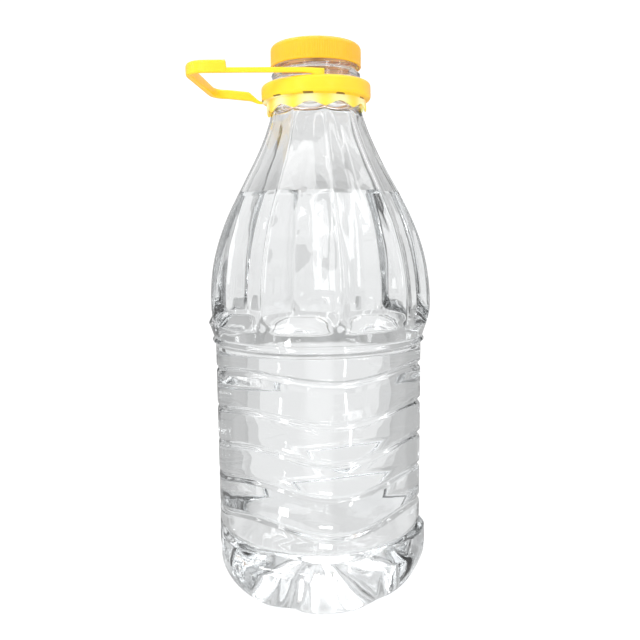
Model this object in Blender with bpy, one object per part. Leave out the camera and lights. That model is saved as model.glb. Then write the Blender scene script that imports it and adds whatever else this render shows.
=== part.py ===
# A clear ribbed water bottle with a screw cap and a carrying handle, in metres, +Z up.
# The bottle, the water in it, the cap and the handle are four closed solids.

import math
from collections import namedtuple

import bmesh
import bpy

MM = 0.001

# Whole object, in millimetres. Heights are measured from the table.
TOTAL_HEIGHT = 305.2
LOOP_REACH = 68.4
SEGMENTS = 60
WALL = 1.1
GAP = 0.5
WATER_LEVEL = 224.0

# Every pattern round the bottle is symmetric about this direction, in degrees from the front.
FRONT_RIB = 10.0

# Base: a rounded corner on a standing ring, with radial notches up to a raised centre.
BASE_CENTRE_HEIGHT = 10.5
DOME_STEPS = 2
DOME_POWER = 1.5
FOOT_INNER_RADIUS = 41.0
FOOT_OUTER_RADIUS = 46.0
FOOT_PULL_OUT = 7.0
FOOT_PULL_UP = 3.0
BUMPER_RADIUS = 62.0
BUMPER_LOW = 27.0
BUMPER_PULL_DOWN = 11.0
BASE_CORNER_STEPS = 4
LOBES = 6
LOBE_FLAT = 0.1
LOBE_POWER = 1.5
SPOKE_DEPTH = 4.5
FOOT_NOTCH = 1.2
LOBE_DEPTH = 4.4

# Body: wavy grooves between a plain groove under the shoulder and one over the base.
BODY_RADIUS = 58.6
GROOVE_DEPTH = 2.0
GROOVE_HALF_WIDTH = 3.2
WAVES = 4
BASE_GROOVE_HEIGHT = 38.5
WAIST_GROOVE_HEIGHT = 143.2
WAIST_STEP = 0.6
WAVY_GROOVES = (
    # mean height, half of the rise and fall
    (52.0, 3.4),
    (72.0, 3.4),
    (90.3, 3.2),
    (109.6, 2.5),
    (130.5, 2.0),
)

# Shoulder: a ring, then fluted panels that narrow to the neck.
RING_RADIUS = 62.2
RING_LOW = 153.0
RING_HIGH = 157.0
SHOULDER_RADIUS = 63.6
SHOULDER_LOW = 161.0
FLUTES = 10
FLUTE_SHARE = 0.088
FLUTE_EDGE = 0.8
FLUTE_TOP = 270.0
FLUTE_RUN_OUT = 8.0
SHOULDER_CURVE = (
    # radius, height: the four control points of the rib line
    (SHOULDER_RADIUS, 166.0),
    (62.4, 213.0),
    (36.5, 232.0),
    (25.6, 269.0),
)
SHOULDER_ROWS = 10

# Neck finish.
NECK_RADIUS = 24.2
NECK_LOW = 272.5
SUPPORT_RADIUS = 26.4
SUPPORT_LOW = 281.8
SUPPORT_HIGH = 283.4
SUPPORT_FLANK = 0.5
BEAD_RADIUS = 24.5
BEAD_HEIGHT = 289.5
BEAD_HALF_HEIGHT = 0.9
THREAD_RADIUS = 23.2
THREAD_LOW = 291.5
THREAD_HIGH = 298.7
RIM_RADIUS = 21.4
RIM_HEIGHT = 302.3
BORE_RADIUS = 20.3
LOWER_BORE_RADIUS = 21.9
LOWER_BORE_LOW = 273.5
LOWER_BORE_HIGH = 296.3

# Inside of the body: how far and how high it passes the bumper and the shoulder ring.
INSIDE_BUMPER_CLEAR = 1.4
INSIDE_BUMPER_HEIGHT = 30.0
INSIDE_LOBE_DEPTH = 3.8
INSIDE_RING_CLEAR = 2.2
INSIDE_RING_HEIGHT = 154.5

# Cap.
CAP_RADIUS = 24.9
CAP_BOTTOM = 293.6
CAP_CORNER = 3.0
CAP_CORNER_STEPS = 5
CAP_BORE = 23.6
CAP_BORE_TOP = 303.0
CAP_TAPER_RADIUS = 21.8
CAP_TAPER_LOW = 299.3
CAP_SEGMENTS = 40

# Handle: a band round the neck, tilted a little, and a loop with a taller grip at its end.
BAND_RADIUS = 30.2
BAND_LOW = 275.6
BAND_HIGH = 284.6
BAND_THICKNESS = 3.0
BAND_EDGE = 1.2
SKIRT_RADIUS = 27.6
SKIRT_BORE = 26.6
SKIRT_LOW = 269.2
SCALLOP = 2.2
LIP_BORE = 24.9
LIP_ROOT = 276.6
LIP_LOW = 278.0
LIP_HIGH = 280.0
BAND_SEGMENTS = 40
BAND_TILT = 1.4

# Loop: lengths run along X from the bottle's axis; each arm has a strap and a taller grip.
ARM_OFFSET = 28.2
FAR_REACH = 63.2
STRAP_THICKNESS = 2.2
GRIP_THICKNESS = 3.4
LOOP_CORNER = 9.0
LOOP_CORNER_STEPS = 4
NEAR_STRAP_END = 5.0
NEAR_STRAP_JOIN = 1.0
NEAR_STRAP_LIFT = -3.0
NEAR_END_LOW = 283.8
NEAR_END_HEIGHT = 3.3
NEAR_BAND_LOW = 284.8
NEAR_ARM_LOW = 285.6
NEAR_STRAP_HEIGHT = 2.6
NEAR_GRIP_START = -45.6
NEAR_GRIP_STEP = 0.8
NEAR_GRIP_HEIGHT = 6.4
FAR_CORNER_LOW = 283.4
FAR_ARM_LOW = 282.1
FAR_GRIP_HEIGHT = 5.1
FAR_GRIP_START = -40.2
FAR_STRAP_START = -33.4
FAR_STRAP_END = -6.0
FAR_STRAP_LOW = 280.2
FAR_STRAP_HEIGHT = 1.6

# The widest rib on the right stands nearest to the side, and the loop reaches out on the left.
SIDE_RIB = math.radians(FRONT_RIB + 2 * 360.0 / FLUTES)
AXIS_X = (LOOP_REACH - SHOULDER_RADIUS * math.sin(SIDE_RIB)) / 2

Ring = namedtuple("Ring", "radius height wave flute notch", defaults=(0.0, 0.0, 0.0))


def clear_scene():
    for thing in list(bpy.data.objects):
        bpy.data.objects.remove(thing)


def make_material(name, colour, roughness, transmission=0.0, ior=1.5):
    material = bpy.data.materials.new(name)
    material.use_nodes = True
    shader = material.node_tree.nodes["Principled BSDF"]
    shader.inputs["Base Color"].default_value = (*colour, 1.0)
    shader.inputs["Roughness"].default_value = roughness
    shader.inputs["Metallic"].default_value = 0.0
    shader.inputs["Transmission Weight"].default_value = transmission
    shader.inputs["IOR"].default_value = ior
    return material


def angle_of(step, segments):
    return math.radians(FRONT_RIB + step * 360.0 / segments)


def around(radius, angle, height):
    # Angles start at the front, which faces -Y, and grow towards +X.
    x = AXIS_X + radius * math.sin(angle)
    return (x * MM, -radius * math.cos(angle) * MM, height * MM)


def periodic_distance(angle, count, phase):
    # 0 on the nearest of the evenly spaced directions, 1 half way between two of them.
    turn = (angle - phase) * count / (2 * math.pi)
    return 2 * abs(turn - round(turn))


def flute_hollow(angle):
    # 0 on a rib's crest and 1 over the flat middle of a flute.
    across = periodic_distance(angle, FLUTES, math.radians(FRONT_RIB))
    return math.sin(min(1.0, across / FLUTE_EDGE) * math.pi / 2)


def notch_shape(angle):
    # 0 on the middle of a lobe of the base and 1 between two lobes.
    turn = LOBES * (angle - math.radians(FRONT_RIB))
    rise = ((1 - math.cos(turn)) / 2 - LOBE_FLAT) / (1 - LOBE_FLAT)
    return max(0.0, rise) ** LOBE_POWER


def ring_point(ring, angle):
    wave = math.cos(WAVES * (angle - math.radians(FRONT_RIB)))
    notch = ring.notch * notch_shape(angle)
    lean = min(1.0, ring.height / BUMPER_LOW)
    radius = ring.radius - ring.flute * flute_hollow(angle) - notch * lean
    height = ring.height - ring.wave * wave + notch * (1 - lean)
    return around(radius, angle, height)


def bezier(points, t):
    weights = ((1 - t) ** 3, 3 * t * (1 - t) ** 2, 3 * t**2 * (1 - t), t**3)
    radius = sum(w * point[0] for w, point in zip(weights, points))
    height = sum(w * point[1] for w, point in zip(weights, points))
    return radius, height


def base_rings():
    # From next to the centre out over the foot and up the rounded corner.
    rings = []
    for step in range(1, DOME_STEPS + 1):
        share = step / (DOME_STEPS + 1)
        radius = FOOT_INNER_RADIUS * share
        height = BASE_CENTRE_HEIGHT * (1 - share**DOME_POWER)
        rings.append(Ring(radius, height, notch=SPOKE_DEPTH * share))
    rings.append(Ring(FOOT_INNER_RADIUS, 0.0, notch=SPOKE_DEPTH))
    rings.append(Ring(FOOT_OUTER_RADIUS, 0.0, notch=FOOT_NOTCH))
    corner = (
        (FOOT_OUTER_RADIUS, 0.0),
        (FOOT_OUTER_RADIUS + FOOT_PULL_OUT, FOOT_PULL_UP),
        (BUMPER_RADIUS, BUMPER_LOW - BUMPER_PULL_DOWN),
        (BUMPER_RADIUS, BUMPER_LOW),
    )
    for step in range(1, BASE_CORNER_STEPS + 1):
        share = step / BASE_CORNER_STEPS
        radius, height = bezier(corner, share)
        rings.append(Ring(radius, height, notch=FOOT_NOTCH + (LOBE_DEPTH - FOOT_NOTCH) * share))
    return rings


def groove_rings(height, wave, low_radius, high_radius):
    return [
        Ring(low_radius, height - GROOVE_HALF_WIDTH, wave),
        Ring(BODY_RADIUS - GROOVE_DEPTH, height, wave),
        Ring(high_radius, height + GROOVE_HALF_WIDTH, wave),
    ]


def body_rings():
    rings = groove_rings(BASE_GROOVE_HEIGHT, 0.0, BUMPER_RADIUS, BODY_RADIUS)
    rings[0] = rings[0]._replace(notch=LOBE_DEPTH)
    for height, wave in WAVY_GROOVES:
        rings += groove_rings(height, wave, BODY_RADIUS, BODY_RADIUS)
    rings += groove_rings(WAIST_GROOVE_HEIGHT, 0.0, BODY_RADIUS, BODY_RADIUS + WAIST_STEP)
    rings.append(Ring(RING_RADIUS, RING_LOW))
    rings.append(Ring(RING_RADIUS, RING_HIGH))
    return rings


def shoulder_rings():
    rings = [Ring(SHOULDER_RADIUS, SHOULDER_LOW, flute=SHOULDER_RADIUS * FLUTE_SHARE)]
    for step in range(SHOULDER_ROWS):
        radius, height = bezier(SHOULDER_CURVE, step / (SHOULDER_ROWS - 1))
        # The flutes run out where the neck begins.
        left = min(1.0, (FLUTE_TOP - height) / FLUTE_RUN_OUT)
        rings.append(Ring(radius, height, flute=radius * FLUTE_SHARE * left))
    return rings


def neck_rings():
    return [
        Ring(NECK_RADIUS, NECK_LOW),
        Ring(NECK_RADIUS, SUPPORT_LOW),
        Ring(SUPPORT_RADIUS, SUPPORT_LOW + SUPPORT_FLANK),
        Ring(SUPPORT_RADIUS, SUPPORT_HIGH),
        Ring(NECK_RADIUS, SUPPORT_HIGH + SUPPORT_FLANK),
        Ring(NECK_RADIUS, BEAD_HEIGHT - BEAD_HALF_HEIGHT),
        Ring(BEAD_RADIUS, BEAD_HEIGHT),
        Ring(NECK_RADIUS, BEAD_HEIGHT + BEAD_HALF_HEIGHT),
        Ring(THREAD_RADIUS, THREAD_LOW),
        Ring(THREAD_RADIUS, THREAD_HIGH),
        Ring(RIM_RADIUS, RIM_HEIGHT),
    ]


def smooth_body_rings():
    # The inside passes behind the grooves, so it keeps to their depth.
    inside = BODY_RADIUS - GROOVE_DEPTH
    return [
        Ring(BUMPER_RADIUS - INSIDE_BUMPER_CLEAR, INSIDE_BUMPER_HEIGHT, notch=INSIDE_LOBE_DEPTH),
        Ring(inside, BASE_GROOVE_HEIGHT),
        Ring(inside, WAIST_GROOVE_HEIGHT),
        Ring(RING_RADIUS - INSIDE_RING_CLEAR, INSIDE_RING_HEIGHT),
    ]


def inset(rings, depth):
    # Each ring moves square to the profile, towards the inside.
    moved = []
    for index, ring in enumerate(rings):
        before = rings[max(index - 1, 0)]
        after = rings[min(index + 1, len(rings) - 1)]
        run = after.radius - before.radius
        rise = after.height - before.height
        length = math.hypot(run, rise)
        radius = ring.radius - depth * rise / length
        height = ring.height + depth * run / length
        moved.append(ring._replace(radius=radius, height=height))
    return moved


def inner_rings(depth):
    return inset(base_rings() + smooth_body_rings() + shoulder_rings(), depth)


def add_ring(mesh, points):
    return [mesh.verts.new(point) for point in points]


def bridge(mesh, low, high):
    # Each four-sided patch is split along its shorter diagonal, so that walls one behind the
    # other fold alike and keep their distance.
    count = len(low)
    for step in range(count):
        following = (step + 1) % count
        a, b, c, d = low[step], low[following], high[following], high[step]
        if (a.co - c.co).length < (b.co - d.co).length - 1e-6:
            mesh.faces.new((a, b, c))
            mesh.faces.new((a, c, d))
        else:
            mesh.faces.new((a, b, d))
            mesh.faces.new((b, c, d))


def close_centre(mesh, loop, height, upward):
    middle = mesh.verts.new((AXIS_X * MM, 0.0, height * MM))
    count = len(loop)
    for step in range(count):
        pair = (loop[step], loop[(step + 1) % count])
        mesh.faces.new((*pair, middle) if upward else (*pair[::-1], middle))


def finish_object(name, mesh, material, sharp_angle=30.0):
    data = bpy.data.meshes.new(name)
    mesh.to_mesh(data)
    mesh.free()
    data.shade_smooth()
    data.set_sharp_from_angle(angle=math.radians(sharp_angle))
    data.materials.append(material)
    thing = bpy.data.objects.new(name, data)
    bpy.context.scene.collection.objects.link(thing)
    return thing


def turned(mesh, rings, segments):
    angles = [angle_of(step, segments) for step in range(segments)]
    loops = [add_ring(mesh, [ring_point(ring, angle) for angle in angles]) for ring in rings]
    for low, high in zip(loops, loops[1:]):
        bridge(mesh, low, high)
    return loops


def build_bottle():
    outside = base_rings() + body_rings() + shoulder_rings() + neck_rings()
    inside = inner_rings(WALL)
    inside.append(Ring(LOWER_BORE_RADIUS, LOWER_BORE_LOW))
    inside.append(Ring(LOWER_BORE_RADIUS, LOWER_BORE_HIGH))
    inside.append(Ring(BORE_RADIUS, RIM_HEIGHT))
    mesh = bmesh.new()
    loops = turned(mesh, outside + inside[::-1], SEGMENTS)
    close_centre(mesh, loops[0], BASE_CENTRE_HEIGHT, upward=False)
    close_centre(mesh, loops[-1], BASE_CENTRE_HEIGHT + WALL, upward=True)
    plastic = make_material("clear_plastic", (0.95, 0.96, 0.97), 0.05, 1.0, 1.57)
    return finish_object("bottle", mesh, plastic)


def cut_level(rings, level):
    # Keeps what lies under the level, and ends on a ring exactly at it.
    kept = [ring for ring in rings if ring.height < level]
    above = rings[len(kept)]
    last = kept[-1]
    share = (level - last.height) / (above.height - last.height)
    radius = last.radius + (above.radius - last.radius) * share
    flute = last.flute + (above.flute - last.flute) * share
    return kept + [Ring(radius, level, flute=flute)]


def build_water():
    rings = cut_level(inner_rings(WALL + GAP), WATER_LEVEL)
    mesh = bmesh.new()
    loops = turned(mesh, rings, SEGMENTS)
    close_centre(mesh, loops[0], BASE_CENTRE_HEIGHT + WALL + GAP, upward=False)
    close_centre(mesh, loops[-1], WATER_LEVEL, upward=True)
    water = make_material("water", (0.98, 0.99, 1.0), 0.02, 1.0, 1.333)
    return finish_object("water", mesh, water)


def build_cap():
    rings = [Ring(CAP_BORE, CAP_BOTTOM), Ring(CAP_RADIUS, CAP_BOTTOM)]
    corner_radius = CAP_RADIUS - CAP_CORNER
    corner_height = TOTAL_HEIGHT - CAP_CORNER
    for step in range(CAP_CORNER_STEPS + 1):
        turn = math.pi / 2 * step / CAP_CORNER_STEPS
        radius = corner_radius + CAP_CORNER * math.cos(turn)
        rings.append(Ring(radius, corner_height + CAP_CORNER * math.sin(turn)))
    bore_rings = [Ring(CAP_TAPER_RADIUS, CAP_BORE_TOP), Ring(CAP_BORE, CAP_TAPER_LOW)]
    mesh = bmesh.new()
    outer_loops = turned(mesh, rings, CAP_SEGMENTS)
    inner_loops = turned(mesh, bore_rings, CAP_SEGMENTS)
    bridge(mesh, inner_loops[-1], outer_loops[0])
    close_centre(mesh, outer_loops[-1], TOTAL_HEIGHT, upward=True)
    close_centre(mesh, inner_loops[0], CAP_BORE_TOP, upward=False)
    yellow = make_material("cap_yellow", (1.0, 0.56, 0.02), 0.4)
    return finish_object("cap", mesh, yellow)


def band_profile(angle):
    # Points (radius, height) round the band's section; the skirt's edge dips over each rib.
    dip = 1 - periodic_distance(angle, FLUTES, math.radians(FRONT_RIB))
    edge = SKIRT_LOW + SCALLOP * (1 - dip)
    bore = BAND_RADIUS - BAND_THICKNESS
    return [
        (SKIRT_BORE, edge),
        (SKIRT_RADIUS, edge),
        (SKIRT_RADIUS, BAND_LOW),
        (BAND_RADIUS - BAND_EDGE, BAND_LOW),
        (BAND_RADIUS, BAND_LOW + BAND_EDGE),
        (BAND_RADIUS, BAND_HIGH - BAND_EDGE),
        (BAND_RADIUS - BAND_EDGE, BAND_HIGH),
        (bore, BAND_HIGH),
        (bore, LIP_HIGH),
        (LIP_BORE, LIP_HIGH),
        (LIP_BORE, LIP_LOW),
        (SKIRT_BORE, LIP_ROOT),
    ]


def build_band(material):
    mesh = bmesh.new()
    loops = []
    for step in range(BAND_SEGMENTS):
        angle = angle_of(step, BAND_SEGMENTS)
        points = [around(radius, angle, height) for radius, height in band_profile(angle)]
        loops.append(add_ring(mesh, points))
    for step, loop in enumerate(loops):
        bridge(mesh, loop, loops[(step + 1) % BAND_SEGMENTS])
    bmesh.ops.recalc_face_normals(mesh, faces=mesh.faces[:])
    # The band sits askew on the neck, lower on the side of the loop.
    middle = (AXIS_X * MM, 0.0, (BAND_LOW + BAND_HIGH) / 2 * MM)
    turn = math.radians(-BAND_TILT)
    spin = [
        (math.cos(turn), 0.0, math.sin(turn)),
        (0.0, 1.0, 0.0),
        (-math.sin(turn), 0.0, math.cos(turn)),
    ]
    for vertex in mesh.verts:
        away = [vertex.co[axis] - middle[axis] for axis in range(3)]
        vertex.co = [middle[row] + sum(spin[row][k] * away[k] for k in range(3)) for row in range(3)]
    return finish_object("handle", mesh, material, 35.0)


def corner_points(centre_x, centre_y, start, stop):
    points = []
    for step in range(LOOP_CORNER_STEPS + 1):
        turn = math.radians(start + (stop - start) * step / LOOP_CORNER_STEPS)
        x = centre_x + LOOP_CORNER * math.cos(turn)
        points.append((x, centre_y + LOOP_CORNER * math.sin(turn)))
    return points


def loop_stations():
    # (x, y, underside, height, thickness) from the band's front, round the end, to its back.
    middle = GRIP_THICKNESS / 2
    near_x = -LOOP_REACH + middle + LOOP_CORNER
    far_x = -FAR_REACH + middle + LOOP_CORNER
    side_y = ARM_OFFSET - LOOP_CORNER
    # The end of the loop is askew: it reaches further at the front than at the back.
    outward = 180.0 - math.degrees(math.atan2(far_x - near_x, 2 * side_y))
    near = corner_points(near_x, -side_y, 270.0, outward)
    far = corner_points(far_x, side_y, outward, 90.0)
    strap = (NEAR_STRAP_HEIGHT, STRAP_THICKNESS)
    step_x = NEAR_GRIP_START - NEAR_GRIP_STEP
    stations = [
        (NEAR_STRAP_END, -ARM_OFFSET, NEAR_END_LOW, NEAR_END_HEIGHT, STRAP_THICKNESS),
        (NEAR_STRAP_JOIN, -ARM_OFFSET, NEAR_END_LOW, NEAR_END_HEIGHT, STRAP_THICKNESS),
        (NEAR_STRAP_LIFT, -ARM_OFFSET, NEAR_BAND_LOW, *strap),
        (NEAR_GRIP_START, -ARM_OFFSET, NEAR_ARM_LOW, *strap),
        (step_x, -ARM_OFFSET, NEAR_ARM_LOW, NEAR_GRIP_HEIGHT, GRIP_THICKNESS),
    ]
    for x, y in near + far:
        share = (y + ARM_OFFSET) / (2 * ARM_OFFSET)
        low = NEAR_ARM_LOW + (FAR_CORNER_LOW - NEAR_ARM_LOW) * share
        height = NEAR_GRIP_HEIGHT + (FAR_GRIP_HEIGHT - NEAR_GRIP_HEIGHT) * share
        stations.append((x, y, low, height, GRIP_THICKNESS))
    # On the far side the grip slopes down into a thinner strap.
    strap = (FAR_STRAP_LOW, FAR_STRAP_HEIGHT, STRAP_THICKNESS)
    stations += [
        (FAR_GRIP_START, ARM_OFFSET, FAR_ARM_LOW, FAR_GRIP_HEIGHT, GRIP_THICKNESS),
        (FAR_STRAP_START, ARM_OFFSET, *strap),
        (FAR_STRAP_END, ARM_OFFSET, *strap),
    ]
    return stations


def build_loop():
    mesh = bmesh.new()
    stations = loop_stations()
    loops = []
    for index, (x, y, low, height, thickness) in enumerate(stations):
        before = stations[max(index - 1, 0)]
        after = stations[min(index + 1, len(stations) - 1)]
        run_x = after[0] - before[0]
        run_y = after[1] - before[1]
        length = math.hypot(run_x, run_y)
        side_x = run_y / length * thickness / 2
        side_y = -run_x / length * thickness / 2
        section = [
            (x + side_x, y + side_y, low),
            (x + side_x, y + side_y, low + height),
            (x - side_x, y - side_y, low + height),
            (x - side_x, y - side_y, low),
        ]
        points = [((AXIS_X + px) * MM, py * MM, pz * MM) for px, py, pz in section]
        loops.append(add_ring(mesh, points))
    for low_loop, high_loop in zip(loops, loops[1:]):
        bridge(mesh, low_loop, high_loop)
    mesh.faces.new(loops[0])
    mesh.faces.new(loops[-1])
    bmesh.ops.recalc_face_normals(mesh, faces=mesh.faces[:])
    loop = finish_object("loop_guide", mesh, bpy.data.materials["handle_yellow"])
    loop.hide_render = True
    loop.display_type = "WIRE"
    return loop


def build_handle():
    yellow = make_material("handle_yellow", (1.0, 0.72, 0.03), 0.42)
    handle = build_band(yellow)
    join = handle.modifiers.new("Join loop", "BOOLEAN")
    join.operation = "UNION"
    join.solver = "EXACT"
    join.object = build_loop()
    return handle


def main():
    clear_scene()
    build_bottle()
    build_water()
    build_cap()
    build_handle()


main()
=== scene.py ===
import math

import bmesh
import bpy
from mathutils import Matrix, Vector


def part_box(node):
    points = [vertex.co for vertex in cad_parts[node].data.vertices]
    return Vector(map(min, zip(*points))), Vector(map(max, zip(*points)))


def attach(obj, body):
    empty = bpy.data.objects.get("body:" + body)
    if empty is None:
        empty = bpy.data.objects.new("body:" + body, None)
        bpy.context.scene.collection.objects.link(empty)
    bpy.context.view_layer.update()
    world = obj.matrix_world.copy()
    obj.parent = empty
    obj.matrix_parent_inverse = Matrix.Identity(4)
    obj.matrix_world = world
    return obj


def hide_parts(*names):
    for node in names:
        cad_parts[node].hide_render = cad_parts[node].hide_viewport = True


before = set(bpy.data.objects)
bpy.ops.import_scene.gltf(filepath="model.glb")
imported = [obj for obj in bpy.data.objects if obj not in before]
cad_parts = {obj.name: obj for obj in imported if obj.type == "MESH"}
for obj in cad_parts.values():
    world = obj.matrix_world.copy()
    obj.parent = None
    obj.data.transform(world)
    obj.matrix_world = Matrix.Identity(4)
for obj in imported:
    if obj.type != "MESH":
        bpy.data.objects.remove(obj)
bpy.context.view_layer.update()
scene = bpy.context.scene
mm = 0.001

# The cap is turned about the bottle's own axis, so its box gives that axis.
capLow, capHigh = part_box("cap")
axisX = (capLow.x + capHigh.x) / 2
print("frame loaded, bottle axis at x =", round(axisX, 5))


def addNode(tree, kind, **settings):
    node = tree.nodes.new(kind)
    for name, value in settings.items():
        setattr(node, name, value)
    return node


def newObject(name, data):
    made = bpy.data.objects.new(name, data)
    scene.collection.objects.link(made)
    return made


def setInputs(node, values):
    for label, value in values.items():
        node.inputs[label].default_value = value


def feed(tree, socket, value):
    # A socket takes either another node's output or a plain value.
    if isinstance(value, bpy.types.NodeSocket):
        tree.links.new(value, socket)
    else:
        socket.default_value = value


def mathsIn(tree):
    def maths(operation, *values):
        node = addNode(tree, "ShaderNodeMath", operation=operation)
        for socket, value in zip(node.inputs, values):
            feed(tree, socket, value)
        return node.outputs[0]

    return maths


def mixColours(tree, factor, first, second):
    node = addNode(tree, "ShaderNodeMix", data_type="RGBA")
    for label, value in (("Factor", factor), ("A", first), ("B", second)):
        feed(tree, node.inputs[label], value)
    return node.outputs["Result"]


def newMaterial(name):
    material = bpy.data.materials.new(name)
    material.use_nodes = True
    tree = material.node_tree
    return material, tree, tree.nodes["Principled BSDF"]


def seeThrough(tree, share, colour):
    # Mixes the material with plain transparency.
    clear = addNode(tree, "ShaderNodeBsdfTransparent")
    clear.inputs["Color"].default_value = (*colour, 1)
    mix = addNode(tree, "ShaderNodeMixShader")
    tree.links.new(share, mix.inputs["Fac"])
    tree.links.new(tree.nodes["Principled BSDF"].outputs[0], mix.inputs[1])
    tree.links.new(clear.outputs[0], mix.inputs[2])
    tree.links.new(mix.outputs[0], tree.nodes["Material Output"].inputs["Surface"])


socketKinds = {int: "Int", float: "Float", tuple: "Color", type(None): "Material"}


def addInputs(tree, defaults):
    for label, value in defaults.items():
        kind = "NodeSocket" + socketKinds[type(value)]
        socket = tree.interface.new_socket(label, in_out="INPUT", socket_type=kind)
        if value is not None:
            socket.default_value = value


def newGeometryTree(name, inputs):
    tree = bpy.data.node_groups.new(name, "GeometryNodeTree")
    tree.interface.new_socket("Geometry", in_out="INPUT", socket_type="NodeSocketGeometry")
    addInputs(tree, inputs)
    tree.interface.new_socket("Geometry", in_out="OUTPUT", socket_type="NodeSocketGeometry")
    return tree, addNode(tree, "NodeGroupInput").outputs, addNode(tree, "NodeGroupOutput").inputs


def socketId(tree, label):
    for item in tree.interface.items_tree:
        if item.item_type == "SOCKET" and item.in_out == "INPUT" and item.name == label:
            return item.identifier
    raise KeyError(label)


def bakeNodes(source, tree, values, name):
    # Runs the tree on the source, keeps the result as a plain mesh and drops the source.
    modifier = source.modifiers.new(tree.name, "NODES")
    modifier.node_group = tree
    for label, value in values.items():
        modifier[socketId(tree, label)] = value
    evaluated = source.evaluated_get(bpy.context.evaluated_depsgraph_get())
    made = bpy.data.meshes.new_from_object(evaluated)
    source.modifiers.clear()
    bpy.data.objects.remove(source)
    made.name = name
    return newObject(name, made)


def profileObject(name, points, columns):
    # A line of points; each point is its place and then one number for each named column.
    data = bpy.data.meshes.new(name)
    edges = [(i, i + 1) for i in range(len(points) - 1)]
    data.from_pydata([point[0] for point in points], edges, [])
    for column, label in enumerate(columns, start=1):
        attribute = data.attributes.new(label, "FLOAT", "POINT")
        attribute.data.foreach_set("value", [point[column] for point in points])
    return newObject(name, data)


def sampleRow(tree, geometry, row, label=None):
    # What the profile's point of this row holds: its place, or a named number.
    kind = "FLOAT_VECTOR" if label is None else "FLOAT"
    sample = addNode(tree, "GeometryNodeSampleIndex", data_type=kind)
    tree.links.new(geometry, sample.inputs["Geometry"])
    if label is None:
        value = addNode(tree, "GeometryNodeInputPosition").outputs[0]
    else:
        named = addNode(tree, "GeometryNodeInputNamedAttribute", data_type="FLOAT")
        named.inputs["Name"].default_value = label
        value = named.outputs["Attribute"]
    tree.links.new(value, sample.inputs["Value"])
    tree.links.new(row, sample.inputs["Index"])
    return sample.outputs[0]


def splitVector(tree, vector):
    node = addNode(tree, "ShaderNodeSeparateXYZ")
    tree.links.new(vector, node.inputs[0])
    return node.outputs["X"], node.outputs["Y"], node.outputs["Z"]


def joinVector(tree, x, y, z):
    node = addNode(tree, "ShaderNodeCombineXYZ")
    for socket, value in zip(node.inputs, (x, y, z)):
        feed(tree, socket, value)
    return node.outputs[0]


def gridOverProfile(tree, profile, around):
    # A grid with one row of points for each profile point, as the fields row and share.
    maths = mathsIn(tree)
    size = addNode(tree, "GeometryNodeAttributeDomainSize", component="MESH")
    tree.links.new(profile, size.inputs[0])
    grid = addNode(tree, "GeometryNodeMeshGrid")
    tree.links.new(size.outputs["Point Count"], grid.inputs["Vertices X"])
    tree.links.new(around, grid.inputs["Vertices Y"])
    index = addNode(tree, "GeometryNodeInputIndex").outputs[0]
    row = maths("FLOOR", maths("DIVIDE", maths("ADD", index, 0.5), around))
    column = maths("SUBTRACT", index, maths("MULTIPLY", row, around))
    share = maths("DIVIDE", column, maths("SUBTRACT", around, 1.0))
    return grid.outputs["Mesh"], row, share


def moveTo(tree, mesh, position):
    node = addNode(tree, "GeometryNodeSetPosition")
    tree.links.new(mesh, node.inputs["Geometry"])
    tree.links.new(position, node.inputs["Position"])
    return node.outputs[0]


def finishTree(tree, mesh, material, output):
    # Closes the seam and the poles, then shades the surface smooth, makes it whole and gives it its
    # material.
    seamGap = 2e-6
    merged = addNode(tree, "GeometryNodeMergeByDistance")
    tree.links.new(mesh, merged.inputs["Geometry"])
    merged.inputs["Distance"].default_value = seamGap
    smooth = addNode(tree, "GeometryNodeSetShadeSmooth")
    tree.links.new(merged.outputs[0], smooth.inputs["Geometry"])
    whole = addNode(tree, "GeometryNodeRealizeInstances")
    tree.links.new(smooth.outputs[0], whole.inputs[0])
    painted = addNode(tree, "GeometryNodeSetMaterial")
    tree.links.new(whole.outputs[0], painted.inputs["Geometry"])
    tree.links.new(material, painted.inputs["Material"])
    tree.links.new(painted.outputs[0], output)


# The numbers that each point of a profile holds besides its place.
turnedColumns = ("flute", "wave", "lobe", "thread", "blown")
sweptColumns = ("halfThick", "halfHigh", "sideX", "sideY")


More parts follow.
